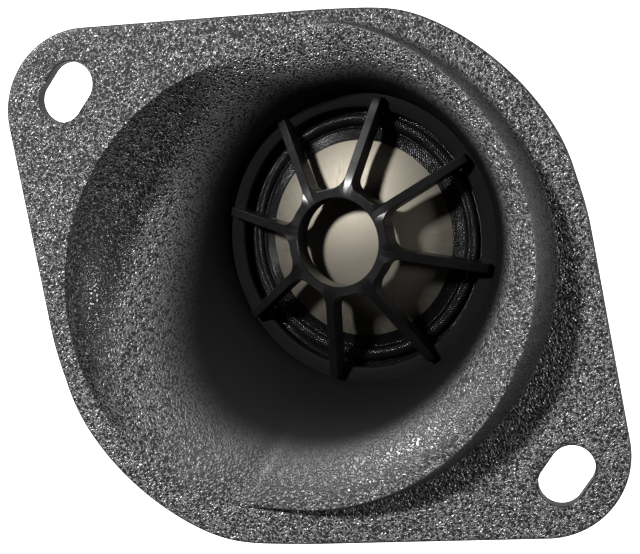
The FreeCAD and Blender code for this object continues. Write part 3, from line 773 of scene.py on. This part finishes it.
def champagne_metal():
    """Satin metal foil with fine streaks towards the middle."""
    paint = Paint("champagne_foil", (0.60, 0.55, 0.46), 0.62, 1.0)
    uv = paint.node("ShaderNodeUVMap", uv_map="UVMap").outputs["UV"]
    stretch = paint.node("ShaderNodeMapping")
    stretch.inputs["Scale"].default_value = (60, 0.6, 1)
    paint.link(uv, stretch.inputs["Vector"])
    streak = paint.node("ShaderNodeTexNoise", Scale=1.0, Detail=3.0)
    paint.link(stretch.outputs["Vector"], streak.inputs["Vector"])
    paint.vary_rough(streak.outputs["Fac"], 0.56, 0.68)
    paint.vary_colour(streak.outputs["Fac"], (0.170, 0.155, 0.126), (0.212, 0.194, 0.160))
    paint.bump(streak.outputs["Fac"], 0.004)
    return paint


def woven_cloth():
    """Coated black weave: threads round and across, glossy on top and coloured darker between, which is
    painted shade.
    """
    paint = Paint("woven_cloth", (0.004, 0.004, 0.0043), 0.2)
    uv = paint.node("ShaderNodeUVMap", uv_map="UVMap").outputs["UV"]
    parts = paint.node("ShaderNodeSeparateXYZ")
    paint.link(uv, parts.inputs["Vector"])
    around = paint.math("MULTIPLY", parts.outputs["X"], 250.0)
    across = paint.math("MULTIPLY", parts.outputs["Y"], 16.0)
    warp = paint.math("SINE", paint.math("ADD", around, across))
    weft = paint.math("SINE", paint.math("SUBTRACT", around, across))
    weave = paint.math("MAXIMUM", warp, weft)
    paint.bump(weave, 0.08)
    paint.link(paint.range(weave, 0.60, 1.0, 0.02, 0.60), paint.shader.inputs["Specular IOR Level"])
    # colour darker between the threads: painted shade
    painted_shade_tone = paint.range(weave, 0.0, 1.0, 0.0, 1.0)
    paint.vary_colour(painted_shade_tone, (0.0008, 0.0008, 0.0009), (0.004, 0.004, 0.0042))
    paint.link(paint.range(weave, 0.3, 1.0, 0.6, 0.18), paint.shader.inputs["Roughness"])
    return paint


def wound_wire():
    """Enamelled copper turns, coloured darker in the grooves between them, which is painted shade."""
    paint = Paint("wound_wire", (0.62, 0.27, 0.12), 0.3, 1.0)
    wave = paint.node("ShaderNodeTexWave", Scale=3.2)
    wave.bands_direction = "Z"
    paint.link(paint.place(), wave.inputs["Vector"])
    paint.bump(wave.outputs["Fac"], 0.06)
    # colour darker in the grooves between turns: painted shade
    paint.vary_colour(wave.outputs["Fac"], (0.35, 0.12, 0.05), (0.75, 0.36, 0.17))
    return paint


def plated(name, dark, light, low, high, size=1.2):
    """Plated metal with cloudy roughness and fine scratches."""
    paint = Paint(name, light, low, 1.0)
    cloud = paint.noise(size, 4.0)
    paint.vary_colour(cloud, dark, light)
    paint.vary_rough(cloud, low, high)
    paint.bump(paint.noise(0.15, 2.0, stretch=(1, 6, 1)), 0.004)
    return paint


def fibrous(name, dark, light, rough, size, depth):
    """Felt, foam or pressed board."""
    paint = Paint(name, light, rough)
    fuzz = paint.noise(size, 5.0)
    paint.vary_colour(fuzz, dark, light)
    paint.bump(fuzz, depth)
    return paint


black = satin_plastic("grille_plastic", (0.003, 0.003, 0.0031), 0.26, 0.34, 0.30)
throat_black = satin_plastic("throat_plastic", (0.003, 0.003, 0.0031), 0.40, 0.50, 0.03)
paints = {
    "textured_black_plastic": grained_plastic(),
    "satin_black_plastic": black,
    "champagne_dome": champagne_metal(),
    "black_woven_cloth": woven_cloth(),
    "coil_former": plated("coil_former", (0.5, 0.5, 0.52), (0.72, 0.72, 0.74), 0.3, 0.42),
    "copper_winding": wound_wire(),
    "dark_plastic": satin_plastic("dark_plastic", (0.022, 0.022, 0.023), 0.42, 0.52),
    "zinc_steel": plated("zinc_steel", (0.42, 0.43, 0.46), (0.62, 0.63, 0.66), 0.28, 0.42),
    "nickel_plating": plated("nickel_plating", (0.60, 0.58, 0.54), (0.74, 0.72, 0.68), 0.16, 0.24),
    "grey_felt": fibrous("grey_felt", (0.08, 0.08, 0.08), (0.30, 0.30, 0.30), 0.95, 0.25, 0.2),
    "silver_braid": plated("silver_braid", (0.40, 0.38, 0.35), (0.68, 0.66, 0.62), 0.35, 0.5, 0.3),
    "soft_rubber": fibrous("soft_rubber", (0.02, 0.02, 0.02), (0.05, 0.05, 0.05), 0.8, 0.3, 0.05),
    "screw_steel": plated("screw_steel", (0.05, 0.05, 0.055), (0.13, 0.13, 0.14), 0.3, 0.42),
    "tinned_brass": plated("tinned_brass", (0.55, 0.53, 0.48), (0.76, 0.74, 0.69), 0.24, 0.36),
    "board_laminate": fibrous("board_laminate", (0.20, 0.12, 0.05), (0.36, 0.24, 0.11), 0.6, 0.5, 0.02),
    "capacitor_sleeve": satin_plastic("capacitor_sleeve", (0.02, 0.05, 0.16), 0.22, 0.30),
    "tinned_wire": plated("tinned_wire", (0.55, 0.55, 0.56), (0.75, 0.75, 0.76), 0.22, 0.32),
}
for part in frame["record"]["subparts"]:
    paints[part["material_slot"]].dress(nodes[part["node"]])
paints["textured_black_plastic"].dress(baffle)
paints["champagne_dome"].dress(dome)
paints["black_woven_cloth"].dress(surround)
black.dress(grille)
throat_black.dress(ledge)

# ---------------------------------------------------------------- floor
FLOOR_HALF, FLOOR_LEVEL = 40.0, -0.12


def make_floor():
    """A plain pale floor, in metres, that glows white behind the part."""
    h, z = FLOOR_HALF, FLOOR_LEVEL
    mesh = bpy.data.meshes.new("Floor")
    mesh.from_pydata([(-h, -h, z), (h, -h, z), (h, h, z), (-h, h, z)], [], [(0, 1, 2, 3)])
    floor = bpy.data.objects.new("Floor", mesh)
    bpy.context.scene.collection.objects.link(floor)
    pale = Paint("floor_pale", (0.9, 0.9, 0.9), 0.9)
    pale.shader.inputs["Emission Color"].default_value = (1, 1, 1, 1)
    pale.shader.inputs["Emission Strength"].default_value = 1.0
    pale.dress(floor)


make_floor()
bpy.context.scene.view_settings.view_transform = "Standard"
